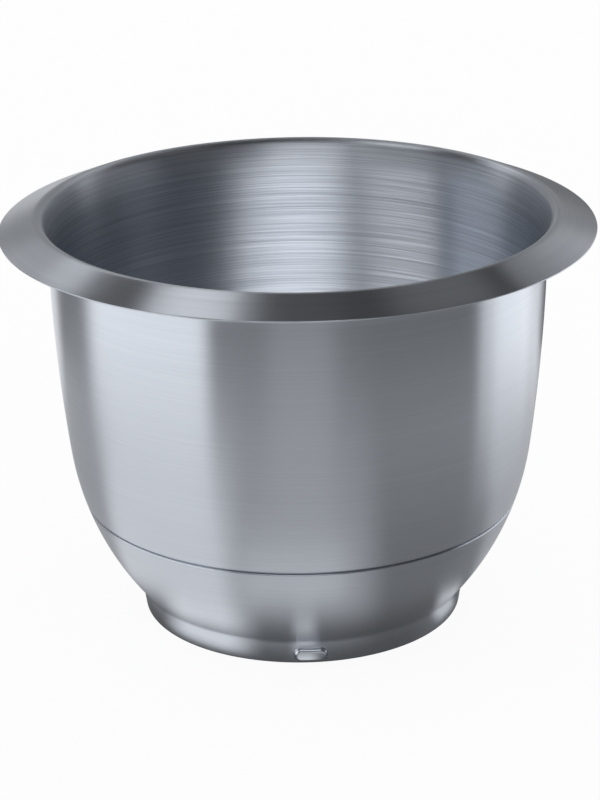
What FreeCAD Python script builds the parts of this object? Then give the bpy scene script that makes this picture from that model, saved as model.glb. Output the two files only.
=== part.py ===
import FreeCAD, Part
import math
import os

# Stand mixer bowl of brushed stainless steel, in millimetres.
# The axis is +Z, the foot stands on Z = 0, and one lug faces -Y.
# Two pressings make it: the deep-drawn bowl, and the skirt with the foot.

# Sheet
SHEET = 0.8                # both pressings are drawn from the same sheet
EDGE_BREAK = 0.2           # deburred edges of the sheet
SMALLEST_ARC = 1.1         # tighter bends are drawn flat, by their chord

# Mouth and brim
MOUTH_RADIUS = 98.75       # outside of the wall, right under the lip
LIP_HEIGHT = 161.0         # where the wall starts to roll over
LIP_BEND = 6.5             # radius of the lip on its top face
BRIM_WIDTH = 19.25         # from the outside of the wall to the brim's edge
BRIM_SLOPE = 24.0          # degrees below level, falling outwards

# Wall: a very gentle barrel down to the shoulder, then one round belly
BARREL_RADIUS = 720.0
SHOULDER_HEIGHT = 71.0     # where the barrel turns into the belly

# Waist: the crease where the belly's line would meet the foot band
WAIST_RADIUS = 66.3
WAIST_HEIGHT = 10.4
WAIST_BEND = 4.0           # hollow radius pressed into the crease

# Foot band
FOOT_DRAW_IN = 1.6         # how much narrower the band is at the floor
FOOT_BEND = 1.2            # outside radius of the turned-in edge
FOOT_REST_WIDTH = 3.0      # flat ring that stands on the floor

# Seam between bowl and skirt
SEAM_HEIGHT = 50.5         # where the bowl's wall steps inwards
STEP_BEND = 0.25           # tight bends of that step
SEAT_CLEARANCE = 0.1       # between the skirt and the wall that it sleeves
SEAM_OVERLAP = 17.5        # height over which the skirt lies on the bowl
SKIRT_TUCK = 0.2           # how far the skirt's top edge reaches into the step
SKIRT_EDGE_BREAK = 0.4     # broken outer corner of the skirt's top edge

# Bottom of the bowl
BOTTOM_HEIGHT = 10.0       # underside of the bowl's lowest ring
BOTTOM_RISE = 3.0          # the centre is pressed up by this much

# Bayonet lugs, pressed out of the foot band
LUG_COUNT = 3
LUG_WIDTH = 13.4
LUG_HEIGHT = 5.6
LUG_LIFT = 1.7             # from the floor to the underside of a lug
LUG_STAND_OUT = 2.2
LUG_CROWN = 1.4            # rounding of a lug's outer face
LUG_ROOT = 0.5             # hollow fillet where a lug leaves the band

AXIS = FreeCAD.Vector(0, 0, 1)
ORIGIN = FreeCAD.Vector(0, 0, 0)
TOUCHING = 1e-6            # points nearer than this are one point
ON_BAND = 1e-3             # edges nearer than this to the foot band lie on it


def at(radius, height):
    """Point of the half section, in the plane that holds +X and the axis."""
    return FreeCAD.Vector(radius, 0, height)


def heading(degrees):
    """Unit vector of the half section, counted from outwards to upwards."""
    return at(math.cos(math.radians(degrees)), math.sin(math.radians(degrees)))


def angle_to(centre, point):
    """Heading from a centre to a point, in degrees."""
    return math.degrees(math.atan2(point.z - centre.z, point.x - centre.x))


class Bend:
    """An arc of the half section, told by its outside face.

    bulge is +1 where the outside face is the round side of the bend, and -1
    where it is the hollow side, so the inside face is nearer or further.
    """

    def __init__(self, centre, radius, start, end, bulge=1):
        self.centre = centre
        self.radius = radius
        self.start = start
        self.end = end
        self.bulge = bulge

    def point(self, angle, depth):
        return self.centre + heading(angle) * (self.radius - self.bulge * depth)

    def edge(self, depth):
        middle = (self.start + self.end) / 2
        points = [self.point(angle, depth) for angle in (self.start, middle, self.end)]
        if self.radius - self.bulge * depth < SMALLEST_ARC:
            return Part.makeLine(points[0], points[2])
        return Part.Arc(*points).toShape()


def face_line(bends, depth, first=None, last=None):
    """Edges of one face of the sheet: its arcs, and the straights between."""
    edges = []
    here = first
    for bend in bends:
        start = bend.point(bend.start, depth)
        if here is not None and here.distanceToPoint(start) > TOUCHING:
            edges.append(Part.makeLine(here, start))
        edges.append(bend.edge(depth))
        here = bend.point(bend.end, depth)
    if last is not None and here.distanceToPoint(last) > TOUCHING:
        edges.append(Part.makeLine(here, last))
    return edges


def turned(edges):
    """Solid of revolution about the axis from a closed half section."""
    wire = Part.Wire(Part.__sortEdges__(edges))
    return Part.Face(wire).revolve(ORIGIN, AXIS, 360)


def shortened(edge, corner, cut):
    """The same edge without a bit next to one of its ends, and its new end there."""
    at_start = edge.valueAt(edge.FirstParameter).distanceToPoint(corner) < TOUCHING
    if at_start:
        new_end = edge.getParameterByLength(cut)
        return edge.Curve.toShape(new_end, edge.LastParameter), edge.valueAt(new_end)
    new_end = edge.getParameterByLength(edge.Length - cut)
    return edge.Curve.toShape(edge.FirstParameter, new_end), edge.valueAt(new_end)


def broken(edges, corner, cut):
    """The half section with the sharp corner at one of its points taken off."""
    kept = []
    ends = []
    for edge in edges:
        if any(end.Point.distanceToPoint(corner) < TOUCHING for end in edge.Vertexes):
            edge, end = shortened(edge, corner, cut)
            ends.append(end)
        kept.append(edge)
    return kept + [Part.makeLine(*ends)]


def barrel():
    """Upper wall, upright at the lip and leaning in towards the shoulder."""
    centre = at(MOUTH_RADIUS - BARREL_RADIUS, LIP_HEIGHT)
    lean = math.degrees(math.asin((LIP_HEIGHT - SHOULDER_HEIGHT) / BARREL_RADIUS))
    return Bend(centre, BARREL_RADIUS, 0, -lean)


def belly():
    """Round lower wall: leaves the barrel smoothly and runs to the waist."""
    upper = barrel()
    shoulder = upper.point(upper.end, 0)
    inwards = heading(upper.end) * -1
    chord = at(WAIST_RADIUS, WAIST_HEIGHT) - shoulder
    radius = chord.dot(chord) / (2 * chord.dot(inwards))
    centre = shoulder + inwards * radius
    return Bend(centre, radius, upper.end, angle_to(centre, at(WAIST_RADIUS, WAIST_HEIGHT)))


def angle_at_height(bend, height):
    """Heading at which a bend of the wall passes a height."""
    return math.degrees(math.asin((height - bend.centre.z) / bend.radius))


def seam_step(wall):
    """The two tight bends that take the bowl in by a sheet at the seam."""
    sunk = wall.radius - SHEET - SEAT_CLEARANCE
    out_bend = STEP_BEND + SHEET
    to_out = wall.radius - out_bend
    to_in = sunk + STEP_BEND
    between = out_bend + STEP_BEND
    turn = math.degrees(math.acos((to_out ** 2 + to_in ** 2 - between ** 2) / (2 * to_out * to_in)))
    start = angle_at_height(wall, SEAM_HEIGHT)
    end = start - turn
    out_centre = wall.centre + heading(start) * to_out
    in_centre = wall.centre + heading(end) * to_in
    meet = angle_to(out_centre, in_centre)
    upper = Bend(out_centre, out_bend, start, meet)
    lower = Bend(in_centre, STEP_BEND, meet + 180, end + 180, -1)
    return upper, lower, Bend(wall.centre, sunk, end, wall.end)


def bowl_bends():
    """All bends of the bowl, from the brim in over the lip and down to the axis."""
    lip_centre = at(MOUTH_RADIUS - SHEET + LIP_BEND, LIP_HEIGHT)
    lip = Bend(lip_centre, LIP_BEND - SHEET, 90 - BRIM_SLOPE, 180, -1)
    upper = barrel()
    wall = belly()
    step_out, step_in, sleeve = seam_step(wall)
    wall.end = step_out.start
    sleeve.end = angle_at_height(sleeve, SEAM_HEIGHT - SEAM_OVERLAP)
    sleeve_foot = sleeve.point(sleeve.end, 0)
    lean = -math.sin(math.radians(sleeve.end))
    corner_radius = (sleeve_foot.z - BOTTOM_HEIGHT) / (1 - lean)
    corner_centre = sleeve_foot - heading(sleeve.end) * corner_radius
    corner = Bend(corner_centre, corner_radius, sleeve.end, -90)
    # The raised centre is two equal bends, one hollow and one round, seen from below.
    sweep = 2 * math.degrees(math.atan(BOTTOM_RISE / corner_centre.x))
    rise_radius = corner_centre.x / (2 * math.sin(math.radians(sweep)))
    ring_centre = at(corner_centre.x, BOTTOM_HEIGHT + rise_radius)
    ring = Bend(ring_centre, rise_radius, -90, -90 - sweep)
    crown_centre = at(0, BOTTOM_HEIGHT + BOTTOM_RISE - rise_radius)
    crown = Bend(crown_centre, rise_radius, 90 - sweep, 90, -1)
    return [lip, upper, wall, step_out, step_in, sleeve, corner, ring, crown]


def bowl_shell():
    """Deep-drawn bowl with its rolled lip, sloping brim and raised bottom."""
    bends = bowl_bends()
    lip = bends[0]
    crown = bends[-1]
    run = MOUTH_RADIUS + BRIM_WIDTH - lip.point(lip.start, SHEET).x
    slope = heading(-BRIM_SLOPE) * (run / math.cos(math.radians(BRIM_SLOPE)))
    under_edge = lip.point(lip.start, 0) + slope
    top_edge = lip.point(lip.start, SHEET) + slope
    section = face_line(bends, 0, first=under_edge)
    section += face_line(bends, SHEET, first=top_edge)
    section.append(Part.makeLine(under_edge, top_edge))
    section.append(Part.makeLine(crown.point(crown.end, 0), crown.point(crown.end, SHEET)))
    section = broken(section, under_edge, EDGE_BREAK)
    section = broken(section, top_edge, EDGE_BREAK)
    return turned(section)


def foot_lines():
    """Corner of the foot at the floor, and the band's upward and outward directions."""
    taper = math.degrees(math.atan(FOOT_DRAW_IN / WAIST_HEIGHT))
    return at(WAIST_RADIUS - FOOT_DRAW_IN, 0), heading(90 - taper), heading(-taper), taper


def skirt_bends():
    """Bends of the skirt: its share of the belly, the crease and the turned-in foot."""
    wall = belly()
    step_end = seam_step(wall)[2].start
    wall.start = step_end + math.degrees(SKIRT_TUCK / wall.radius)
    corner, up, out, taper = foot_lines()
    # The crease's bend touches both the belly and the band from outside.
    beside = corner + out * WAIST_BEND - wall.centre
    along = beside.dot(up)
    reach = wall.radius + WAIST_BEND
    climb = -along - math.sqrt(along ** 2 - beside.dot(beside) + reach ** 2)
    crease_centre = wall.centre + beside + up * climb
    wall.end = angle_to(wall.centre, crease_centre)
    crease = Bend(crease_centre, WAIST_BEND, wall.end + 180, 180 - taper, -1)
    lift = FOOT_BEND * (1 - math.sin(math.radians(taper))) / math.cos(math.radians(taper))
    foot_centre = corner + up * lift - out * FOOT_BEND
    foot = Bend(foot_centre, FOOT_BEND, -taper, -90)
    return [wall, crease, foot]


def plain_skirt():
    """The skirt before its lugs are pressed: belly, crease, band and rest ring."""
    bends = skirt_bends()
    top_outer = bends[0].point(bends[0].start, 0)
    top_inner = bends[0].point(bends[0].start, SHEET)
    rest_under = bends[-1].point(-90, 0) - at(FOOT_REST_WIDTH, 0)
    rest_over = rest_under + at(0, SHEET)
    section = face_line(bends, 0, last=rest_under)
    section += face_line(bends, SHEET, last=rest_over)
    section.append(Part.makeLine(top_outer, top_inner))
    section.append(Part.makeLine(rest_under, rest_over))
    section = broken(section, top_outer, SKIRT_EDGE_BREAK)
    for corner in (top_inner, rest_under, rest_over):
        section = broken(section, corner, EDGE_BREAK)
    return turned(section)


def band_radius(height, depth=0):
    """Radius of the foot band at a height: its outside, or deeper in the sheet."""
    slant = math.cos(math.atan(FOOT_DRAW_IN / WAIST_HEIGHT))
    return WAIST_RADIUS - FOOT_DRAW_IN * (1 - height / WAIST_HEIGHT) - depth / slant


def pill(depth, base, reach):
    """Upright pill-shaped block that runs outwards along -Y."""
    low = LUG_LIFT + depth
    high = LUG_LIFT + LUG_HEIGHT - depth
    middle = (low + high) / 2
    side = (LUG_WIDTH - LUG_HEIGHT) / 2
    tip = side + middle - low
    corners = [FreeCAD.Vector(x, -base, z) for x, z in (
        (side, low), (tip, middle), (side, high), (-side, high), (-tip, middle), (-side, low))]
    right_low, right, right_high, left_high, left, left_low = corners
    outline = Part.Wire([Part.Arc(right_low, right, right_high).toShape(),
                         Part.makeLine(right_high, left_high),
                         Part.Arc(left_high, left, left_low).toShape(),
                         Part.makeLine(left_low, right_low)])
    return Part.Face(outline).extrude(FreeCAD.Vector(0, base - reach, 0))


def lug_block(depth):
    """A lug's block, with a face that follows the foot's curve."""
    reach = band_radius(LUG_LIFT + LUG_HEIGHT / 2) + LUG_STAND_OUT - depth
    block = pill(depth, WAIST_RADIUS - FOOT_DRAW_IN - LUG_WIDTH, reach + SHEET)
    return block.common(Part.makeCylinder(reach, WAIST_HEIGHT))


def lug_boss():
    """Outside of a lug with its rounded crown, rooted in the middle of the band's sheet."""
    block = lug_block(0)
    face = min(block.Faces, key=lambda face: face.CenterOfMass.y)
    block = block.makeFillet(LUG_CROWN, face.Edges)
    core = Part.makeCone(band_radius(0, SHEET / 2), band_radius(WAIST_HEIGHT, SHEET / 2), WAIST_HEIGHT)
    return block.cut(core)


def lug_edges(skirt, facing):
    """Edges where a lug leaves the outside face of the foot band."""
    found = []
    for edge in skirt.Edges:
        middle = edge.valueAt((edge.FirstParameter + edge.LastParameter) / 2)
        aside = middle - facing * middle.dot(facing)
        near = middle.dot(facing) > 0 and math.hypot(aside.x, aside.y) < LUG_WIDTH
        off_band = math.hypot(middle.x, middle.y) - band_radius(middle.z)
        if near and abs(off_band) < ON_BAND:
            found.append(edge)
    return found


def base_skirt():
    """Pressed skirt with its hollow bayonet lugs."""
    skirt = plain_skirt()
    boss = lug_boss()
    hollow = lug_block(SHEET)
    for number in range(LUG_COUNT):
        turn = 360 / LUG_COUNT * number
        facing = FreeCAD.Rotation(AXIS, turn).multVec(FreeCAD.Vector(0, -1, 0))
        skirt = skirt.fuse(boss.rotated(ORIGIN, AXIS, turn))
        skirt = skirt.cut(hollow.rotated(ORIGIN, AXIS, turn))
        skirt = skirt.makeFillet(LUG_ROOT, lug_edges(skirt, facing))
    return skirt


def main():
    os.makedirs("parts", exist_ok=True)
    bowl_shell().exportStep("parts/bowl_shell.step")
    base_skirt().exportStep("parts/base_skirt.step")


if __name__ == "__main__":
    main()
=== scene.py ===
import math

import bmesh
import bpy
from mathutils import Matrix, Vector


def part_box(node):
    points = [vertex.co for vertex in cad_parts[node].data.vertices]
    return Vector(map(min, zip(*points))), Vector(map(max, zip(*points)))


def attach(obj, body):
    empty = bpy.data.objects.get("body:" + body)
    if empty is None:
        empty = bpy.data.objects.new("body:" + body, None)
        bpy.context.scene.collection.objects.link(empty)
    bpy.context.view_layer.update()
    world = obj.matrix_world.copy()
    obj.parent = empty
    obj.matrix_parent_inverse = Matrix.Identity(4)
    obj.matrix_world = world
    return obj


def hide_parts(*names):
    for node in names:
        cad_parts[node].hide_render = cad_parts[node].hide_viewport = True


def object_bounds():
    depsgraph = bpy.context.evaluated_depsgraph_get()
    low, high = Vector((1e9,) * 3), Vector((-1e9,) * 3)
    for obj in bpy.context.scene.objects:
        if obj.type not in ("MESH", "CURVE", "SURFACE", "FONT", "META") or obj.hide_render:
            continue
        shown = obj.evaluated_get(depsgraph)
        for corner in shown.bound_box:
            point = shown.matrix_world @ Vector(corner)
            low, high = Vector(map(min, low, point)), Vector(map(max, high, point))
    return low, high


bl_info = {
    "name": "Stand mixer bowl",
    "version": (1, 0, 0),
    "blender": (4, 5, 0),
    "location": "View3D > Sidebar > Mixer bowl",
    "description": "Builds a brushed steel mixer bowl with its sleeved foot, and a light tent for it",
    "category": "Add Mesh",
}

# The CAD model is loaded first, so that sizes below can start from its boxes.
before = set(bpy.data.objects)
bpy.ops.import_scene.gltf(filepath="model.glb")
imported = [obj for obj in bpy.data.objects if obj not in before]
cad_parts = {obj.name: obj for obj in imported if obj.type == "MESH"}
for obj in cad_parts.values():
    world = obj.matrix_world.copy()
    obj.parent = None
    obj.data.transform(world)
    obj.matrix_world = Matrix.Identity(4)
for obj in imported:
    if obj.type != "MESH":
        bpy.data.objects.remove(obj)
CAD_LOW, CAD_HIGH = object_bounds()
SHELL_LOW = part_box("bowl_shell")[0]

MM = 0.001
# Longest stretch of the half section between two vertices, and the rounding of a cut sheet edge.
ROW = 2.4 * MM
EDGE_ROUND = 0.25 * MM
AXIS = Vector((0, 0, 1))
ORIGIN = Vector((0, 0, 0))
# A turn about this axis goes from outwards to upwards in the half section.
SECTION_AXIS = Vector((0, -1, 0))


# Sizes and colours that a user would change

class BowlSizes(bpy.types.PropertyGroup):
    """Sizes of the bowl's pressing, from its wall to its brim."""

    sheet: bpy.props.FloatProperty(
        name="Sheet", description="Thickness of the steel sheet",
        default=0.8 * MM, precision=5, unit="LENGTH")
    mouth_radius: bpy.props.FloatProperty(
        name="Mouth radius", description="Outside of the wall, right under the lip",
        default=98.75 * MM, precision=5, unit="LENGTH")
    upright_height: bpy.props.FloatProperty(
        name="Upright height", description="Height at which the barrel would stand upright",
        default=161.0 * MM, precision=5, unit="LENGTH")
    lip_top: bpy.props.FloatProperty(
        name="Lip top", description="Highest line of the rolled lip",
        default=CAD_HIGH.z, precision=5, unit="LENGTH")
    lip_bend: bpy.props.FloatProperty(
        name="Lip bend", description="Radius of the rolled lip on its top face",
        default=3.4 * MM, precision=5, unit="LENGTH")
    flare_radius: bpy.props.FloatProperty(
        name="Flare radius", description="Hollow curve that leads the wall out to the lip",
        default=48 * MM, precision=5, unit="LENGTH")
    lip_lean: bpy.props.FloatProperty(
        name="Lip lean", description="How far the wall leans out where the lip rolls over",
        default=math.radians(17), subtype="ANGLE")
    brim_radius: bpy.props.FloatProperty(
        name="Brim radius", description="Outer edge of the sloping brim",
        default=118.0 * MM, precision=5, unit="LENGTH")
    brim_slope: bpy.props.FloatProperty(
        name="Brim slope", description="How far the brim falls outwards, below level",
        default=math.radians(22.5), subtype="ANGLE")
    barrel_radius: bpy.props.FloatProperty(
        name="Barrel radius", description="Very gentle curve of the upper wall",
        default=720 * MM, precision=5, unit="LENGTH")
    shoulder_height: bpy.props.FloatProperty(
        name="Shoulder height", description="Height at which the barrel turns into the belly",
        default=71.0 * MM, precision=5, unit="LENGTH")
    bottom_height: bpy.props.FloatProperty(
        name="Bottom height", description="Underside of the bowl's lowest ring",
        default=SHELL_LOW.z, precision=5, unit="LENGTH")
    bottom_rise: bpy.props.FloatProperty(
        name="Bottom rise", description="How far the centre is pressed up",
        default=3.0 * MM, precision=5, unit="LENGTH")
    steps: bpy.props.IntProperty(
        name="Steps", description="Faces round the bowl", default=288, min=24, max=400)


class SkirtSizes(bpy.types.PropertyGroup):
    """Sizes of the skirt's pressing: seam, crease, foot band and lugs."""

    waist_radius: bpy.props.FloatProperty(
        name="Waist radius", description="Where the belly's line meets the foot band",
        default=66.3 * MM, precision=5, unit="LENGTH")
    waist_height: bpy.props.FloatProperty(
        name="Waist height", description="Height of that meeting line",
        default=10.4 * MM, precision=5, unit="LENGTH")
    waist_bend: bpy.props.FloatProperty(
        name="Crease", description="Hollow radius pressed into the waist",
        default=4.0 * MM, precision=5, unit="LENGTH")
    foot_draw_in: bpy.props.FloatProperty(
        name="Foot draw-in", description="How much narrower the band is at the floor",
        default=1.6 * MM, precision=5, unit="LENGTH")
    foot_bend: bpy.props.FloatProperty(
        name="Foot bend", description="Outside radius of the turned-in edge",
        default=1.2 * MM, precision=5, unit="LENGTH")
    foot_rest: bpy.props.FloatProperty(
        name="Foot rest", description="Width of the flat ring that stands on the floor",
        default=3.0 * MM, precision=5, unit="LENGTH")
    seam_height: bpy.props.FloatProperty(
        name="Seam height", description="Where the bowl's wall steps inwards",
        default=50.5 * MM, precision=5, unit="LENGTH")
    overlap: bpy.props.FloatProperty(
        name="Overlap", description="Height over which the skirt lies on the bowl",
        default=17.5 * MM, precision=5, unit="LENGTH")
    clearance: bpy.props.FloatProperty(
        name="Clearance", description="Gap between the skirt and the wall that it sleeves",
        default=0.1 * MM, precision=5, unit="LENGTH")
    groove: bpy.props.FloatProperty(
        name="Groove", description="Open width of the seam, from the bowl's step to the skirt's edge",
        default=0.65 * MM, precision=5, unit="LENGTH")
    lug_width: bpy.props.FloatProperty(
        name="Lug width", description="Width of a bayonet lug",
        default=13.4 * MM, precision=5, unit="LENGTH")
    lug_height: bpy.props.FloatProperty(
        name="Lug height", description="Height of a bayonet lug",
        default=5.6 * MM, precision=5, unit="LENGTH")
    lug_lift: bpy.props.FloatProperty(
        name="Lug lift", description="From the floor to the underside of a lug",
        default=1.7 * MM, precision=5, unit="LENGTH")
    lug_stand_out: bpy.props.FloatProperty(
        name="Lug stand-out", description="How far a lug stands out of the band",
        default=2.2 * MM, precision=5, unit="LENGTH")
    lug_crown: bpy.props.FloatProperty(
        name="Lug crown", description="Rounding of a lug's outer face",
        default=1.4 * MM, precision=5, unit="LENGTH")
    lug_root: bpy.props.FloatProperty(
        name="Lug root", description="Hollow fillet where a lug leaves the band",
        default=0.5 * MM, precision=5, unit="LENGTH")
    lug_count: bpy.props.IntProperty(
        name="Lugs", description="Bayonet lugs round the foot", default=3, min=1, max=6)


class SteelLook(bpy.types.PropertyGroup):
    """Colour and finish of the brushed stainless steel."""

    colour: bpy.props.StringProperty(
        name="Colour", description="Steel between its brush lines, as an sRGB hex value", default="#DDE2EA")
    line_colour: bpy.props.StringProperty(
        name="Line colour", description="Steel in a deep brush line, as an sRGB hex value", default="#BCC2CC")
    roughness: bpy.props.FloatProperty(
        name="Roughness", description="Roughness of the outside and the brim", default=0.29,
        min=0, max=1, subtype="FACTOR")
    inside_roughness: bpy.props.FloatProperty(
        name="Inside roughness", description="Roughness of the bowl's inside", default=0.36,
        min=0, max=1, subtype="FACTOR")
    lug_roughness: bpy.props.FloatProperty(
        name="Lug roughness", description="Roughness of the lugs, burnished by the seat", default=0.13,
        min=0, max=1, subtype="FACTOR")
    anisotropy: bpy.props.FloatProperty(
        name="Anisotropy", description="How much wider reflections spread across the brush lines",
        default=0.93, min=0, max=1, subtype="FACTOR")
    line_pitch: bpy.props.FloatProperty(
        name="Line pitch", description="Distance between brush lines as drawn",
        default=0.32 * MM, precision=5, unit="LENGTH")
    line_length: bpy.props.FloatProperty(
        name="Line length", description="Length of one brush line round the bowl",
        default=70 * MM, precision=5, unit="LENGTH")
    line_strength: bpy.props.FloatProperty(
        name="Line strength", description="Contrast of the brush lines outside",
        default=0.16, min=0, max=1, subtype="FACTOR")
    inside_line_strength: bpy.props.FloatProperty(
        name="Inside line strength", description="Contrast of the brush lines inside",
        default=1.0, min=0, max=1, subtype="FACTOR")


class StudioSettings(bpy.types.PropertyGroup):
    """Camera and light tent."""

    lens: bpy.props.FloatProperty(
        name="Lens", description="Focal length", default=123.75, unit="CAMERA")
    distance: bpy.props.FloatProperty(
        name="Distance", description="From the camera to the middle of the foot",
        default=1147.6 * MM, precision=4, unit="LENGTH")
    elevation: bpy.props.FloatProperty(
        name="Elevation", description="Height of the camera above the horizon",
        default=math.radians(25.121), subtype="ANGLE")
    azimuth: bpy.props.FloatProperty(
        name="Azimuth", description="How far the camera stands to the left of the front lug",
        default=math.radians(2.5), subtype="ANGLE")
    tilt: bpy.props.FloatProperty(
        name="Tilt", description="How far the camera looks above the foot",
        default=math.radians(4.028), subtype="ANGLE")
    roll: bpy.props.FloatProperty(
        name="Roll", description="Small turn of the camera about its line of sight",
        default=math.radians(0.822), subtype="ANGLE")


# Half section of a pressed sheet

def at(radius, height):
    """Point of the half section, in the plane that holds +X and the axis."""
    return Vector((radius, 0, height))


def heading(angle):
    """Unit vector of the half section, counted from outwards to upwards."""
    return at(math.cos(angle), math.sin(angle))


def angle_to(centre, point):
    """Heading from a centre to a point."""
    return math.atan2(point.z - centre.z, point.x - centre.x)


class Bend:
    """An arc of the half section, told by its outside face.

    bulge is +1 where the outside face is the round side of the bend, and -1
    where it is the hollow side, so the inside face is nearer or further.
    """

    def __init__(self, centre, radius, start, end, bulge=1):
        self.centre = centre
        self.radius = radius
        self.start = start
        self.end = end
        self.bulge = bulge

    def point(self, angle, depth):
        return self.centre + heading(angle) * (self.radius - self.bulge * depth)


def barrel(bowl):
    """Upper wall, upright at the lip and leaning in towards the shoulder."""
    centre = at(bowl.mouth_radius - bowl.barrel_radius, bowl.upright_height)
    lean = math.asin((bowl.upright_height - bowl.shoulder_height) / bowl.barrel_radius)
    return Bend(centre, bowl.barrel_radius, 0, -lean)


def lip_and_flare(bowl, upper):
    """The rolled lip, and the hollow curve between it and the barrel, which it shortens."""
    rolled = bowl.lip_bend - bowl.sheet
    reach = bowl.flare_radius - rolled
    climb = bowl.lip_top - bowl.lip_bend - reach * math.sin(bowl.lip_lean)
    share = bowl.flare_radius / bowl.barrel_radius
    height = (climb + share * bowl.upright_height) / (1 + share)
    upper.start = angle_at_height(upper, height)
    flare_centre = upper.point(upper.start, 0) + heading(upper.start) * bowl.flare_radius
    flare_top = math.pi - bowl.lip_lean
    flare = Bend(flare_centre, bowl.flare_radius, flare_top, math.pi + upper.start, -1)
    lip_centre = flare_centre + heading(flare_top) * reach
    return Bend(lip_centre, rolled, math.pi / 2 - bowl.brim_slope, flare_top, -1), flare


def belly(bowl, skirt):
    """Round lower wall: leaves the barrel smoothly and runs to the waist."""
    upper = barrel(bowl)
    shoulder = upper.point(upper.end, 0)
    inwards = -heading(upper.end)
    waist = at(skirt.waist_radius, skirt.waist_height)
    chord = waist - shoulder
    radius = chord.dot(chord) / (2 * chord.dot(inwards))
    centre = shoulder + inwards * radius
    return Bend(centre, radius, upper.end, angle_to(centre, waist))


def angle_at_height(bend, height):
    """Heading at which a bend of the wall passes a height."""
    return math.asin((height - bend.centre.z) / bend.radius)


def seam_step(bowl, skirt, wall):
    """The two tight bends that take the bowl in by a sheet at the seam."""
    tight = 0.25 * MM
    sunk = wall.radius - bowl.sheet - skirt.clearance
    out_bend = tight + bowl.sheet
    to_out = wall.radius - out_bend
    to_in = sunk + tight
    between = out_bend + tight
    turn = math.acos((to_out ** 2 + to_in ** 2 - between ** 2) / (2 * to_out * to_in))
    start = angle_at_height(wall, skirt.seam_height)
    end = start - turn
    out_centre = wall.centre + heading(start) * to_out
    in_centre = wall.centre + heading(end) * to_in
    meet = angle_to(out_centre, in_centre)
    upper = Bend(out_centre, out_bend, start, meet)
    lower = Bend(in_centre, tight, meet + math.pi, end + math.pi, -1)
    return upper, lower, Bend(wall.centre, sunk, end, wall.end)


def bowl_bends(bowl, skirt):
    """All bends of the bowl, from the brim in over the lip and down to the axis."""
    upper = barrel(bowl)
    lip, flare = lip_and_flare(bowl, upper)
    wall = belly(bowl, skirt)
    step_out, step_in, sleeve = seam_step(bowl, skirt, wall)
    wall.end = step_out.start
    sleeve.end = angle_at_height(sleeve, skirt.seam_height - skirt.overlap)
    sleeve_foot = sleeve.point(sleeve.end, 0)
    corner_radius = (sleeve_foot.z - bowl.bottom_height) / (1 + math.sin(sleeve.end))
    corner_centre = sleeve_foot - heading(sleeve.end) * corner_radius
    corner = Bend(corner_centre, corner_radius, sleeve.end, -math.pi / 2)
    sweep = 2 * math.atan(bowl.bottom_rise / corner_centre.x)
    rise_radius = corner_centre.x / (2 * math.sin(sweep))
    ring_centre = at(corner_centre.x, bowl.bottom_height + rise_radius)
    ring = Bend(ring_centre, rise_radius, -math.pi / 2, -math.pi / 2 - sweep)
    crown_centre = at(0, bowl.bottom_height + bowl.bottom_rise - rise_radius)
    crown = Bend(crown_centre, rise_radius, math.pi / 2 - sweep, math.pi / 2, -1)
    return [lip, flare, upper, wall, step_out, step_in, sleeve, corner, ring, crown]


def skirt_bends(bowl, skirt):
    """Bends of the skirt: its share of the belly, the crease and the turned-in foot."""
    wall = belly(bowl, skirt)
    step_end = seam_step(bowl, skirt, wall)[2].start
    wall.start = step_end - skirt.groove / wall.radius
    taper = math.atan(skirt.foot_draw_in / skirt.waist_height)
    corner = at(skirt.waist_radius - skirt.foot_draw_in, 0)
    up = heading(math.pi / 2 - taper)
    out = heading(-taper)
    beside = corner + out * skirt.waist_bend - wall.centre
    along = beside.dot(up)
    reach = wall.radius + skirt.waist_bend
    climb = -along - math.sqrt(along ** 2 - beside.dot(beside) + reach ** 2)
    crease_centre = wall.centre + beside + up * climb
    wall.end = angle_to(wall.centre, crease_centre)
    crease = Bend(crease_centre, skirt.waist_bend, wall.end + math.pi, math.pi - taper, -1)
    lift = skirt.foot_bend * (1 - math.sin(taper)) / math.cos(taper)
    foot_centre = corner + up * lift - out * skirt.foot_bend
    foot = Bend(foot_centre, skirt.foot_bend, -taper, -math.pi / 2)
    return [wall, crease, foot]


class Section:
    """A half section drawn in a bmesh by one travelling vertex."""

    def __init__(self, start):
        self.mesh = bmesh.new()
        self.tip = self.mesh.verts.new(start)

    def straight(self, target, row):
        """Runs to a point, with a vertex every row."""
        length = (target - self.tip.co).length
        if length < 1e-7:
            return
        steps = math.ceil(length / row)
        stride = (target - self.tip.co) / steps
        for _ in range(steps):
            place = self.tip.co + stride
            self.tip = bmesh.ops.extrude_vert_indiv(self.mesh, verts=[self.tip])["verts"][0]
            self.tip.co = place

    def turn(self, centre, angle, row):
        """Runs round a centre, outwards to upwards where the angle is positive."""
        length = abs(angle) * (self.tip.co - centre).length
        steps = max(math.ceil(length / row), math.ceil(abs(angle) / math.radians(12)))
        spun = bmesh.ops.spin(self.mesh, geom=[self.tip], cent=centre, axis=SECTION_AXIS,
                              angle=angle, steps=steps)
        self.tip = [part for part in spun["geom_last"] if isinstance(part, bmesh.types.BMVert)][0]

    def face(self, bends, depth, row):
        """Runs along one face of the sheet, bend after bend in the order given."""
        for bend, first, last in bends:
            self.straight(bend.point(first, depth), row)
            self.turn(bend.centre, last - first, row)

    def sheet_edge(self, leaving, thickness, first_round, second_round):
        """Runs over the rounded edge of the sheet and comes back on its other face."""
        across = heading(leaving + math.pi / 2)
        back = heading(leaving)
        self.turn(self.tip.co + across * first_round, math.pi / 2, first_round)
        self.straight(self.tip.co + across * (thickness - first_round - second_round), thickness)
        self.turn(self.tip.co - back * second_round, math.pi / 2, second_round)


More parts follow.
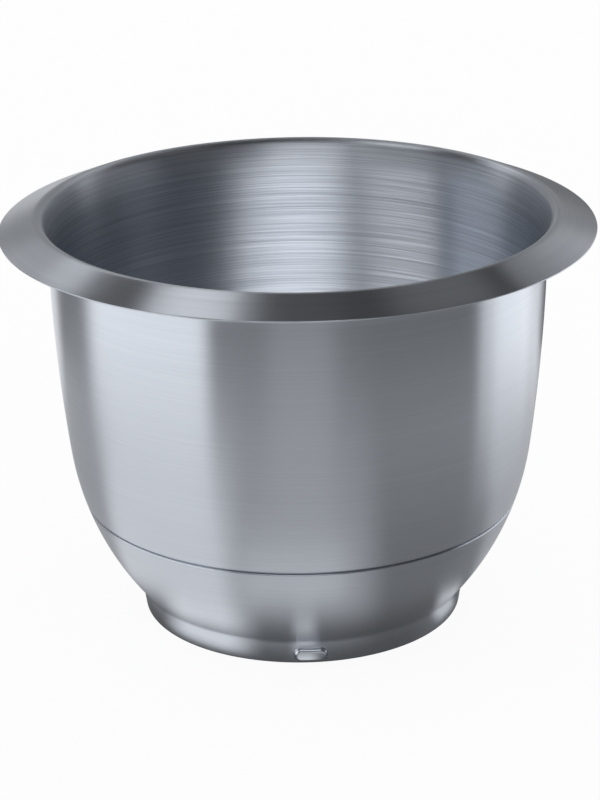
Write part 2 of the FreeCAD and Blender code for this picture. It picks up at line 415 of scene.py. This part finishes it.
def turned(section, shares, sectors):
    """Turns the half section about the axis: one share of it step by step, then its copies."""
    mesh = section.mesh
    geometry = mesh.verts[:] + mesh.edges[:]
    first = -math.pi / 2 - sectors[0][0] / 2
    bmesh.ops.rotate(mesh, verts=mesh.verts[:], cent=ORIGIN, matrix=Matrix.Rotation(first, 3, "Z"))
    for angle, steps in sectors:
        spun = bmesh.ops.spin(mesh, geom=geometry, cent=ORIGIN, axis=AXIS, angle=angle, steps=steps)
        geometry = spun["geom_last"]
    share = mesh.verts[:] + mesh.edges[:] + mesh.faces[:]
    for number in range(1, shares):
        copied = bmesh.ops.duplicate(mesh, geom=share)["geom"]
        corners = [part for part in copied if isinstance(part, bmesh.types.BMVert)]
        turn = Matrix.Rotation(math.tau / shares * number, 3, "Z")
        bmesh.ops.rotate(mesh, verts=corners, cent=ORIGIN, matrix=turn)
    bmesh.ops.remove_doubles(mesh, verts=mesh.verts[:], dist=2e-6)
    return mesh


def closed_outwards(mesh):
    """Points every face out of the sheet and shades it smoothly."""
    bmesh.ops.recalc_face_normals(mesh, faces=mesh.faces[:])
    for face in mesh.faces:
        face.smooth = True


def finished_piece(name, mesh, node, material):
    """Makes the object, which stands for its CAD node and rides with the bowl."""
    closed_outwards(mesh)
    data = bpy.data.meshes.new(name)
    mesh.to_mesh(data)
    mesh.free()
    data.materials.append(material)
    piece = bpy.data.objects.new(name, data)
    bpy.context.scene.collection.objects.link(piece)
    even = piece.modifiers.new("Even shading", "WEIGHTED_NORMAL")
    even.weight = 50
    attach(piece, "root")
    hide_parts(node)
    return piece


# Lugs

def lug_profile(travel, root, crown, stand_out):
    """Depth inside the lug's outline and height above the band, for a run up its side."""
    foot = root * math.pi / 2
    side = stand_out - root - crown
    if travel < foot:
        angle = travel / root
        return root * math.sin(angle) - root, root * (1 - math.cos(angle))
    if travel < foot + side:
        return 0, root + travel - foot
    angle = min((travel - foot - side) / crown, math.pi / 2)
    return crown * (1 - math.cos(angle)), root + side + crown * math.sin(angle)


def band_radius(skirt, height):
    """Outside of the foot band at a height."""
    return skirt.waist_radius - skirt.foot_draw_in * (1 - height / skirt.waist_height)


def press_lug(mesh, facing, skirt, depth, low_stop):
    """Presses one lug out of the foot band, on its outside or on its inside face."""
    root = skirt.lug_root
    crown = skirt.lug_crown - depth
    half_height = skirt.lug_height / 2 - depth
    middle = skirt.lug_lift + skirt.lug_height / 2
    side = (skirt.lug_width - skirt.lug_height) / 2
    slant = math.cos(math.atan(skirt.foot_draw_in / skirt.waist_height))
    reach = band_radius(skirt, middle) + skirt.lug_stand_out - depth
    # Rows this far outside the outline start to climb, and rows this far inside are level.
    before = 0.65 * MM
    inside = min(1.6 * MM, half_height * 0.8)
    travel = root * math.pi / 2 + (skirt.lug_stand_out - root - crown) + crown * math.pi / 2
    same_face = 0.02 * MM
    for vert in mesh.verts:
        band = band_radius(skirt, vert.co.z) - depth / slant
        radius = math.hypot(vert.co.x, vert.co.y)
        turn = math.remainder(math.atan2(vert.co.y, vert.co.x) - facing, math.tau)
        on_band = abs(radius - band) < same_face and vert.co.z > low_stop
        if not on_band or abs(turn) * radius > skirt.lug_width:
            continue
        place = Vector((turn * reach, vert.co.z - middle))
        core = Vector((max(-side, min(side, place.x)), 0))
        arm = place - core
        inward = half_height - arm.length
        if inward < -before:
            continue
        share = (inward + before) / (before + inside)
        if share < 1:
            lateral, height = lug_profile(share * travel, root, crown, skirt.lug_stand_out)
            place = core + arm.normalized() * (half_height - lateral)
        else:
            height = skirt.lug_stand_out
            level = (half_height - inward) / (half_height - inside)
            place = core + arm.normalized() * level * (half_height - crown)
        new_z = place.y + middle
        new_band = band_radius(skirt, new_z) - depth / slant
        new_radius = new_band + (reach - new_band) * height / skirt.lug_stand_out
        new_turn = facing + place.x / reach
        vert.co = Vector((new_radius * math.cos(new_turn), new_radius * math.sin(new_turn), new_z))


# Materials

def linear(hex_colour):
    """Linear colour with alpha from an sRGB hex value."""
    channels = [int(hex_colour[place:place + 2], 16) / 255 for place in (1, 3, 5)]
    values = [value / 12.92 if value <= 0.04045 else ((value + 0.055) / 1.055) ** 2.4
              for value in channels]
    return (*values, 1.0)


def add_node(tree, kind, inputs=None, **settings):
    """Adds a shader node with its settings, and fills or links its sockets."""
    made = tree.nodes.new(kind)
    for name, value in settings.items():
        setattr(made, name, value)
    for socket, value in (inputs or {}).items():
        if isinstance(value, bpy.types.NodeSocket):
            tree.links.new(value, made.inputs[socket])
        else:
            made.inputs[socket].default_value = value
    return made


def new_material(name):
    """An empty node material."""
    material = bpy.data.materials.new(name)
    material.use_nodes = True
    material.node_tree.nodes.clear()
    return material


def brush_lines(tree, around, across, pitch, length):
    """Noise drawn out into fine lines round the bowl."""
    wall_radius = 98 * MM
    spread = add_node(tree, "ShaderNodeVectorMath",
                      {0: around, "Scale": wall_radius / length}, operation="SCALE").outputs[0]
    height = add_node(tree, "ShaderNodeMath", {0: across, 1: 1 / pitch}, operation="MULTIPLY").outputs[0]
    lift = add_node(tree, "ShaderNodeCombineXYZ", {2: height}).outputs[0]
    spot = add_node(tree, "ShaderNodeVectorMath", {0: spread, 1: lift}, operation="ADD").outputs[0]
    return add_node(tree, "ShaderNodeTexNoise",
                    {"Vector": spot, "Scale": 1.0, "Detail": 3.0, "Roughness": 0.65}).outputs["Fac"]


def inside_share(tree, around, radius):
    """1 on the inside of the bowl and 0 on its outside and its brim, fading over the lip."""
    lip_inside = 100.5 * MM
    lip_outside = 103.5 * MM
    faces = add_node(tree, "ShaderNodeNewGeometry").outputs["Normal"]
    inwards = add_node(tree, "ShaderNodeVectorMath",
                       {0: (0, 0, 1), 1: around}, operation="SUBTRACT").outputs[0]
    towards = add_node(tree, "ShaderNodeVectorMath",
                       {0: inwards, 1: faces}, operation="DOT_PRODUCT").outputs["Value"]
    turned_in = add_node(tree, "ShaderNodeMath", {0: towards, 1: 0.0}, operation="GREATER_THAN").outputs[0]
    within = add_node(tree, "ShaderNodeMapRange",
                      {"Value": radius, "From Min": lip_outside, "From Max": lip_inside}).outputs[0]
    return add_node(tree, "ShaderNodeMath", {0: turned_in, 1: within}, operation="MULTIPLY").outputs[0]


def lug_share(tree, radius, height):
    """1 on the lugs, which stand out of the foot band, and 0 elsewhere."""
    band_foot = 64.7 * MM
    band_taper = 0.154
    lug_top = 7.6 * MM
    fade = 0.4 * MM
    level_radius = add_node(tree, "ShaderNodeMath", {0: height, 1: -band_taper, 2: radius},
                            operation="MULTIPLY_ADD").outputs[0]
    out = add_node(tree, "ShaderNodeMapRange",
                   {"Value": level_radius, "From Min": band_foot + fade,
                    "From Max": band_foot + 1.0 * MM}).outputs[0]
    below = add_node(tree, "ShaderNodeMapRange",
                     {"Value": height, "From Min": lug_top + fade, "From Max": lug_top}).outputs[0]
    return add_node(tree, "ShaderNodeMath", {0: out, 1: below}, operation="MULTIPLY").outputs[0]


def brushed_stainless_steel(look):
    """Stainless steel 1.4301, brushed in rings with a fine belt, coarser inside.

    The rings spread each reflection up and down and keep it narrow from side
    to side, so lights stand on the bowl as upright bands with fine lines in
    them. Real lines are about 0.05 mm apart. The fine ones are drawn about
    six times coarser, so that they show, and wider ones lie between them.
    """
    material = new_material("brushed_stainless_steel")
    tree = material.node_tree
    place = add_node(tree, "ShaderNodeTexCoord").outputs["Object"]
    parts = add_node(tree, "ShaderNodeSeparateXYZ", {0: place})
    flat = add_node(tree, "ShaderNodeCombineXYZ", {0: parts.outputs[0], 1: parts.outputs[1]}).outputs[0]
    radius = add_node(tree, "ShaderNodeVectorMath", {0: flat}, operation="LENGTH").outputs["Value"]
    around = add_node(tree, "ShaderNodeVectorMath", {0: flat}, operation="NORMALIZE").outputs[0]
    across = add_node(tree, "ShaderNodeMath", {0: parts.outputs[2], 1: radius}, operation="ADD").outputs[0]
    inside = inside_share(tree, around, radius)
    fine = brush_lines(tree, around, across, look.line_pitch, look.line_length)
    wider = 2.6
    longer = 2
    wide = brush_lines(tree, around, across, look.line_pitch * wider, look.line_length * longer)
    both = add_node(tree, "ShaderNodeMath", {0: fine, 1: wide}, operation="ADD").outputs[0]
    strength = add_node(tree, "ShaderNodeMapRange",
                        {"Value": inside, "To Min": look.line_strength,
                         "To Max": look.inside_line_strength}).outputs[0]
    swing = add_node(tree, "ShaderNodeMapRange",
                     {"Value": both, "From Min": 0.6, "From Max": 1.4,
                      "To Min": -1.0, "To Max": 1.0}).outputs[0]
    depth = add_node(tree, "ShaderNodeMath", {0: swing, 1: strength, 2: 0.5},
                     operation="MULTIPLY_ADD").outputs[0]
    colour = add_node(tree, "ShaderNodeMix",
                      {"Factor": depth, 6: linear(look.line_colour), 7: linear(look.colour)},
                      data_type="RGBA").outputs[2]
    even = add_node(tree, "ShaderNodeMapRange",
                    {"Value": inside, "To Min": look.roughness, "To Max": look.inside_roughness}).outputs[0]
    # Deep lines are rougher than the steel between them, by this much from the one to the other.
    spread = 0.08
    uneven = add_node(tree, "ShaderNodeMath", {0: depth, 1: -spread, 2: spread / 2},
                      operation="MULTIPLY_ADD").outputs[0]
    brushed = add_node(tree, "ShaderNodeMath", {0: even, 1: uneven}, operation="ADD").outputs[0]
    rough = add_node(tree, "ShaderNodeMapRange",
                     {"Value": lug_share(tree, radius, parts.outputs[2]), "To Min": brushed,
                      "To Max": look.lug_roughness}).outputs[0]
    bump = add_node(tree, "ShaderNodeBump",
                    {"Strength": 0.25, "Distance": 0.04 * MM, "Height": depth}).outputs[0]
    ring = add_node(tree, "ShaderNodeTangent", direction_type="RADIAL", axis="Z").outputs[0]
    steel = add_node(tree, "ShaderNodeBsdfPrincipled",
                     {"Base Color": colour, "Metallic": 1.0, "Roughness": rough,
                      "Anisotropic": look.anisotropy, "Anisotropic Rotation": 0.25,
                      "Normal": bump, "Tangent": ring})
    add_node(tree, "ShaderNodeOutputMaterial", {0: steel.outputs[0]})
    return material


def steel():
    """The brushed steel, made once and shared by both pressings."""
    found = bpy.data.materials.get("brushed_stainless_steel")
    return found or brushed_stainless_steel(bpy.context.scene.steel_look)


# Operators

class MakeBowl(bpy.types.Operator):
    """Build the deep-drawn bowl with its rolled lip, sloping brim and raised bottom"""

    bl_idname = "mixer_bowl.bowl"
    bl_label = "Bowl"

    def execute(self, context):
        bowl = context.scene.bowl_sizes
        skirt = context.scene.skirt_sizes
        bends = bowl_bends(bowl, skirt)
        lip = bends[0]
        crown = bends[-1]
        upwards = [(bend, bend.end, bend.start) for bend in reversed(bends)]
        downwards = [(bend, bend.start, bend.end) for bend in bends]
        run = bowl.brim_radius - lip.point(lip.start, bowl.sheet).x
        run = run / math.cos(bowl.brim_slope) - EDGE_ROUND
        section = Section(crown.point(crown.end, 0))
        section.face(upwards, 0, ROW)
        section.straight(section.tip.co + heading(-bowl.brim_slope) * run, ROW)
        section.sheet_edge(-bowl.brim_slope, bowl.sheet, EDGE_ROUND, EDGE_ROUND)
        section.face(downwards, bowl.sheet, ROW)
        mesh = turned(section, 4, [(math.tau / 4, bowl.steps // 4)])
        finished_piece("mixing_bowl", mesh, "bowl_shell", steel())
        return {"FINISHED"}


class MakeSkirt(bpy.types.Operator):
    """Build the skirt with its crease, foot band and hollow bayonet lugs"""

    bl_idname = "mixer_bowl.skirt"
    bl_label = "Skirt"

    def execute(self, context):
        bowl = context.scene.bowl_sizes
        skirt = context.scene.skirt_sizes
        wall, crease, foot = skirt_bends(bowl, skirt)
        band_row = 0.2 * MM
        foot_row = 0.3 * MM
        crease_row = 0.8 * MM
        upper_round = 0.45 * MM
        wall.start -= upper_round / wall.radius
        section = Section(wall.point(wall.start, 0))
        section.turn(wall.centre, wall.end - wall.start, ROW)
        section.face([(crease, crease.start, crease.end)], 0, crease_row)
        section.straight(foot.point(foot.start, 0), band_row)
        section.turn(foot.centre, foot.end - foot.start, foot_row)
        section.straight(section.tip.co - at(skirt.foot_rest - EDGE_ROUND, 0), ROW)
        across = at(0, 1)
        section.turn(section.tip.co + across * EDGE_ROUND, -math.pi / 2, EDGE_ROUND)
        section.straight(section.tip.co + across * (bowl.sheet - 2 * EDGE_ROUND), bowl.sheet)
        section.turn(section.tip.co + at(EDGE_ROUND, 0), -math.pi / 2, EDGE_ROUND)
        section.straight(foot.point(foot.end, bowl.sheet), ROW)
        section.turn(foot.centre, foot.start - foot.end, foot_row)
        section.straight(crease.point(crease.end, bowl.sheet), band_row)
        section.turn(crease.centre, crease.start - crease.end, crease_row)
        inner_start = wall.start + (upper_round - EDGE_ROUND) / wall.radius
        section.turn(wall.centre, inner_start - wall.end, ROW)
        section.turn(section.tip.co + heading(wall.start) * EDGE_ROUND, -math.pi / 2, EDGE_ROUND)
        upper_centre = wall.point(wall.start, upper_round)
        section.straight(upper_centre + heading(wall.start + math.pi / 2) * upper_round, bowl.sheet)
        section.turn(upper_centre, -math.pi / 2, upper_round)
        lug_sector = math.radians(18)
        plain_sector = math.tau / skirt.lug_count - lug_sector
        lug_steps = 100
        plain_steps = 68
        mesh = turned(section, skirt.lug_count, [(lug_sector, lug_steps), (plain_sector, plain_steps)])
        for number in range(skirt.lug_count):
            facing = math.tau / skirt.lug_count * number - math.pi / 2
            press_lug(mesh, facing, skirt, 0, foot.point(foot.start, 0).z)
            press_lug(mesh, facing, skirt, bowl.sheet, foot.point(foot.start, bowl.sheet).z)
        finished_piece("foot_skirt", mesh, "base_skirt", steel())
        return {"FINISHED"}


class MakeStage(bpy.types.Operator):
    """Set up the pale floor, the light tent, the room and the camera"""

    bl_idname = "mixer_bowl.stage"
    bl_label = "Stage"

    def execute(self, context):
        studio = context.scene.studio_settings
        make_floor()
        make_world()
        make_tent()
        place_camera(studio)
        context.scene.view_settings.view_transform = "Standard"
        return {"FINISHED"}


# Floor, room and light tent

def seen_ray(tree):
    """1 for rays that show the background: straight to the camera, or by way of metal or glass."""
    path = add_node(tree, "ShaderNodeLightPath").outputs
    either = add_node(tree, "ShaderNodeMath",
                      {0: path["Is Camera Ray"], 1: path["Is Glossy Ray"]}, operation="MAXIMUM").outputs[0]
    return add_node(tree, "ShaderNodeMath",
                    {0: either, 1: path["Is Transmission Ray"]}, operation="MAXIMUM").outputs[0]


def make_floor():
    """Plain white floor, which glows where it is seen and keeps a soft shadow."""
    floor_radius = 6.0
    glow_share = 0.93
    mesh = bmesh.new()
    bmesh.ops.create_circle(mesh, cap_ends=True, segments=96, radius=floor_radius)
    data = bpy.data.meshes.new("floor")
    mesh.to_mesh(data)
    mesh.free()
    material = new_material("white_paper_floor")
    tree = material.node_tree
    matt = add_node(tree, "ShaderNodeBsdfDiffuse", {"Color": linear("#F4F5F6")}).outputs[0]
    glow = add_node(tree, "ShaderNodeEmission", {"Color": (1, 1, 1, 1), "Strength": 1.0}).outputs[0]
    share = product(tree, seen_ray(tree), glow_share)
    mixed = add_node(tree, "ShaderNodeMixShader", {0: share, 1: matt, 2: glow}).outputs[0]
    add_node(tree, "ShaderNodeOutputMaterial", {0: mixed})
    data.materials.append(material)
    floor = bpy.data.objects.new("floor", data)
    bpy.context.scene.collection.objects.link(floor)


def make_world():
    """White room: plain light on everything, and pure white where it shows."""
    world = bpy.data.worlds.new("white_room")
    world.use_nodes = True
    tree = world.node_tree
    tree.nodes.clear()
    shown = add_node(tree, "ShaderNodeBackground", {0: (1, 1, 1, 1), 1: 1.0}).outputs[0]
    room_light = 0.9
    light = add_node(tree, "ShaderNodeBackground", {0: (1, 1, 1, 1), 1: room_light}).outputs[0]
    mixed = add_node(tree, "ShaderNodeMixShader", {0: seen_ray(tree), 1: light, 2: shown}).outputs[0]
    add_node(tree, "ShaderNodeOutputWorld", {0: mixed})
    world.cycles.sampling_method = "NONE"
    bpy.context.scene.world = world


class Panel:
    """Place and level of one soft light or cloth on a face of the tent.

    azimuth, half_width and side_fade are in degrees. azimuth is counted from
    the front lug, to the left where it is negative.
    start and end are heights on the tent's wall, and radii on its roof and on the
    sheet of painted floor shade and light. The fades are widths over which the panel thins out. level
    is its glow: soft lights have about 1 or more, and dark cloths nearly 0.
    """

    def __init__(self, name, azimuth, half_width, start, end, level,
                 side_fade, start_fade, end_fade):
        self.name = name
        self.azimuth = azimuth
        self.half_width = half_width
        self.start = start
        self.end = end
        self.level = level
        self.side_fade = side_fade
        self.start_fade = start_fade
        self.end_fade = end_fade


class Lamp:
    """An upright area lamp in the mouth, told by its edges in plan, its heights and its power.

    The power is in watts for each square metre of the lamp.
    """

    def __init__(self, name, left, right, low, high, power):
        self.name = name
        self.left = left
        self.right = right
        self.low = low
        self.high = high
        self.power = power


TENT_RADIUS = 0.33
TENT_HEIGHT = 0.5
ROOF_RADIUS = 0.36
ROOF_HEIGHT = 0.49
PAINTED_FLOOR_RADIUS = 0.34
PAINTED_FLOOR_HEIGHT = 0.3 * MM

# Name, azimuth, half width, start, end, level, side fade, start fade and end fade.
WALL_PANELS = (
    Panel("front_dark_cloth", 19, 59, 0.0, 0.5, 0.12, 5, 0, 0.02),
    Panel("front_low_light", -2, 18, 0.0, 0.16, 0.28, 12, 0, 0.06),
    Panel("front_high_light", -8, 26, 0.2, 0.5, 1.1, 8, 0.04, 0.01),
    Panel("back_right_cloth", 146, 17, 0.0, 0.5, 0.1, 5, 0, 0.02),
    Panel("back_left_cloth", -117, 19, 0.0, 0.2, 0.2, 6, 0, 0.08),
    Panel("back_grey_cloth", 180, 52, 0.17, 0.4, 0.3, 10, 0.02, 0.05),
    Panel("left_light", -68, 31, 0.0, 0.24, 1.3, 4, 0, 0.05),
    Panel("left_high_cloth", -82, 44, 0.2, 0.5, 0.03, 8, 0.03, 0.01),
    Panel("right_high_cloth", 96, 32, 0.2, 0.5, 0.03, 8, 0.03, 0.01),
    Panel("right_light", 100, 20, 0.0, 0.2, 1.4, 6, 0, 0.1),
)

ROOF_PANELS = (
    Panel("roof_cloth", 0, 181, 0.0, 0.36, 0.02, 0, 0, 0.02),
    Panel("roof_light", -114, 50, 0.07, 0.22, 1.3, 10, 0.02, 0.03),
    Panel("roof_front_light", -5, 42, 0.24, 0.36, 0.6, 12, 0.04, 0.01),
    Panel("roof_grey_cloth", 115, 38, 0.1, 0.32, 0.2, 15, 0.04, 0.05),
)

# Painted shade and painted light of the floor as the steel reflects it: the sheet is grey and darker near the
# bowl as painted shadow, darker still to the front right, darkest in a ring at the foot as painted contact
# shadow, with painted patches of lit floor to the left, in front, to the right and under the front lug.
PAINTED_FLOOR_PANELS = (
    Panel("ground_painted_shade", 0, 181, 0.0, 0.34, 0.45, 0, 0, 0.12),
    Panel("ground_left", -62, 40, 0.06, 0.3, 0.85, 16, 0.01, 0.1),
    Panel("ground_front", -6, 28, 0.08, 0.18, 0.72, 16, 0.025, 0.06),
    Panel("ground_right_dark", 55, 38, 0.05, 0.3, 0.22, 16, 0, 0.1),
    # Painted contact shadow in a ring round the foot.
    Panel("foot_shade", 0, 181, 0.0, 0.09, 0.11, 0, 0, 0.02),
    Panel("foot_left_light", -44, 28, 0.067, 0.09, 1.1, 20, 0.003, 0.015),
    Panel("foot_right_light", 68, 13, 0.067, 0.086, 0.9, 9, 0.003, 0.014),
    Panel("lug_light", -2, 7, 0.069, 0.083, 0.9, 6, 0.003, 0.01),
)

LAMPS = (
    Lamp("mouth_lamp", (-0.0185, 0.001), (0.027, -0.001), 0.03, 0.15, 3.2),
    Lamp("mouth_fill_lamp", (-0.076, 0.034), (-0.034, 0.001), 0.052, 0.14, 3.0),
)


def smooth_share(tree, value, clear, full):
    """0 to 1 as the value runs from clear to full."""
    return add_node(tree, "ShaderNodeMapRange", {"Value": value, "From Min": clear, "From Max": full},
                    interpolation_type="SMOOTHSTEP").outputs[0]


def product(tree, *factors):
    """Node value of several factors multiplied."""
    result = factors[0]
    for factor in factors[1:]:
        result = add_node(tree, "ShaderNodeMath", {0: result, 1: factor}, operation="MULTIPLY").outputs[0]
    return result


def panel_share(tree, panel, azimuth, along):
    """1 on a panel, thinning out to 0 at its edges."""
    least_side_fade = 0.2
    least_fade = 0.1 * MM
    from_middle = add_node(tree, "ShaderNodeMath", {0: azimuth, 1: math.radians(panel.azimuth)},
                           operation="SUBTRACT").outputs[0]
    wrapped = add_node(tree, "ShaderNodeMath", {0: from_middle, 1: math.pi, 2: -math.pi},
                       operation="WRAP").outputs[0]
    aside = add_node(tree, "ShaderNodeMath", {0: wrapped}, operation="ABSOLUTE").outputs[0]
    half = math.radians(panel.half_width)
    inner = half - math.radians(max(panel.side_fade, least_side_fade))
    return product(
        tree,
        smooth_share(tree, aside, half, inner),
        smooth_share(tree, along, panel.start - least_fade, panel.start + panel.start_fade),
        smooth_share(tree, along, panel.end, panel.end - max(panel.end_fade, least_fade)))


def lit_cloth(name, panels, counted_along):
    """Glow of one face of the tent: its panels laid over each other in turn, and clear between them."""
    material = new_material(name)
    tree = material.node_tree
    place = add_node(tree, "ShaderNodeTexCoord").outputs["Object"]
    parts = add_node(tree, "ShaderNodeSeparateXYZ", {0: place}).outputs
    ahead = add_node(tree, "ShaderNodeMath", {0: parts[1], 1: -1.0}, operation="MULTIPLY").outputs[0]
    azimuth = add_node(tree, "ShaderNodeMath", {0: parts[0], 1: ahead}, operation="ARCTAN2").outputs[0]
    flat = add_node(tree, "ShaderNodeCombineXYZ", {0: parts[0], 1: parts[1]}).outputs[0]
    radius = add_node(tree, "ShaderNodeVectorMath", {0: flat}, operation="LENGTH").outputs["Value"]
    along = {"height": parts[2], "radius": radius}[counted_along]
    level = 0.0
    cover = 0.0
    for panel in panels:
        share = panel_share(tree, panel, azimuth, along)
        level = add_node(tree, "ShaderNodeMix", {"Factor": share, 2: level, 3: panel.level}).outputs[0]
        cover = add_node(tree, "ShaderNodeMath", {0: cover, 1: share}, operation="MAXIMUM").outputs[0]
    glow = add_node(tree, "ShaderNodeEmission", {0: (1, 1, 1, 1), 1: level}).outputs[0]
    clear = add_node(tree, "ShaderNodeBsdfTransparent").outputs[0]
    mixed = add_node(tree, "ShaderNodeMixShader", {0: cover, 1: clear, 2: glow}).outputs[0]
    add_node(tree, "ShaderNodeOutputMaterial", {0: mixed})
    material.cycles.emission_sampling = "NONE"
    return material


def hang(name, mesh, material):
    """Hangs a face of the tent where only reflections show it, and without a shadow."""
    data = bpy.data.meshes.new(name)
    mesh.to_mesh(data)
    mesh.free()
    data.materials.append(material)
    hung = bpy.data.objects.new(name, data)
    bpy.context.scene.collection.objects.link(hung)
    hung.visible_camera = False
    hung.visible_diffuse = False
    hung.visible_shadow = False


def hang_disc(name, radius, height, panels):
    """The tent's roof, or the sheet on the ground that holds the painted shade and painted light of the floor
    round the bowl.
    """
    mesh = bmesh.new()
    place = Matrix.Translation((0, 0, height))
    bmesh.ops.create_circle(mesh, cap_ends=True, segments=96, radius=radius, matrix=place)
    hang(name, mesh, lit_cloth(name, panels, "radius"))


def hang_wall(name, radius, height, panels):
    """The tent's round wall."""
    mesh = bmesh.new()
    bmesh.ops.create_circle(mesh, segments=96, radius=radius)
    raised = bmesh.ops.extrude_edge_only(mesh, edges=mesh.edges[:])["geom"]
    top = [part for part in raised if isinstance(part, bmesh.types.BMVert)]
    bmesh.ops.translate(mesh, verts=top, vec=AXIS * height)
    hang(name, mesh, lit_cloth(name, panels, "height"))


def hang_lamp(lamp):
    """An area lamp that faces the far wall, and that only reflections show."""
    left = Vector((*lamp.left, (lamp.low + lamp.high) / 2))
    right = Vector((*lamp.right, left.z))
    across = (right - left).normalized()
    data = bpy.data.lights.new(lamp.name, "AREA")
    data.shape = "RECTANGLE"
    data.size = (right - left).length
    data.size_y = lamp.high - lamp.low
    data.energy = lamp.power * data.size * data.size_y
    hung = bpy.data.objects.new(lamp.name, data)
    bpy.context.scene.collection.objects.link(hung)
    turn = Matrix((across, AXIS, across.cross(AXIS))).transposed()
    hung.matrix_world = Matrix.Translation((left + right) / 2) @ turn.to_4x4()
    hung.visible_camera = False
    hung.visible_diffuse = False


def make_tent():
    """Soft lights and cloths round the bowl, a sheet of painted floor shade and light under it, and two lamps
    hung in its mouth.
    """
    hang_wall("tent_wall", TENT_RADIUS, TENT_HEIGHT, WALL_PANELS)
    hang_disc("tent_roof", ROOF_RADIUS, ROOF_HEIGHT, ROOF_PANELS)
    hang_disc("painted_floor_sheet", PAINTED_FLOOR_RADIUS, PAINTED_FLOOR_HEIGHT, PAINTED_FLOOR_PANELS)
    for lamp in LAMPS:
        hang_lamp(lamp)


def place_camera(studio):
    """Camera at the photograph's angle, a little to the left of the front lug."""
    back = Vector((-math.sin(studio.azimuth) * math.cos(studio.elevation),
                   -math.cos(studio.azimuth) * math.cos(studio.elevation),
                   math.sin(studio.elevation)))
    forward = -back
    right = forward.cross(AXIS).normalized()
    up = right.cross(forward)
    tilt = Matrix.Rotation(studio.tilt, 3, right)
    forward = tilt @ forward
    roll = Matrix.Rotation(studio.roll, 3, forward)
    right = roll @ right
    up = roll @ (tilt @ up)
    turn = Matrix((right, up, -forward)).transposed()
    data = bpy.data.cameras.new("camera")
    data.lens = studio.lens
    data.sensor_width = 36
    camera = bpy.data.objects.new("camera", data)
    bpy.context.scene.collection.objects.link(camera)
    camera.matrix_world = Matrix.Translation(back * studio.distance) @ turn.to_4x4()
    bpy.context.scene.camera = camera


class MixerBowlPanel(bpy.types.Panel):
    """Lists the bowl's pieces and its stage"""

    bl_idname = "VIEW3D_PT_mixer_bowl"
    bl_label = "Mixer bowl"
    bl_space_type = "VIEW_3D"
    bl_region_type = "UI"
    bl_category = "Mixer bowl"

    def draw(self, context):
        for operator in OPERATORS:
            self.layout.operator(operator.bl_idname)


SETTINGS = {
    "bowl_sizes": BowlSizes,
    "skirt_sizes": SkirtSizes,
    "steel_look": SteelLook,
    "studio_settings": StudioSettings,
}
OPERATORS = (MakeBowl, MakeSkirt, MakeStage)


def register():
    for name, group in SETTINGS.items():
        bpy.utils.register_class(group)
        setattr(bpy.types.Scene, name, bpy.props.PointerProperty(type=group))
    for operator in OPERATORS:
        bpy.utils.register_class(operator)
    bpy.utils.register_class(MixerBowlPanel)


def unregister():
    bpy.utils.unregister_class(MixerBowlPanel)
    for operator in reversed(OPERATORS):
        bpy.utils.unregister_class(operator)
    for name, group in reversed(SETTINGS.items()):
        delattr(bpy.types.Scene, name)
        bpy.utils.unregister_class(group)


def main():
    register()
    bpy.ops.mixer_bowl.bowl()
    bpy.ops.mixer_bowl.skirt()
    bpy.ops.mixer_bowl.stage()


if __name__ == "__main__":
    main()
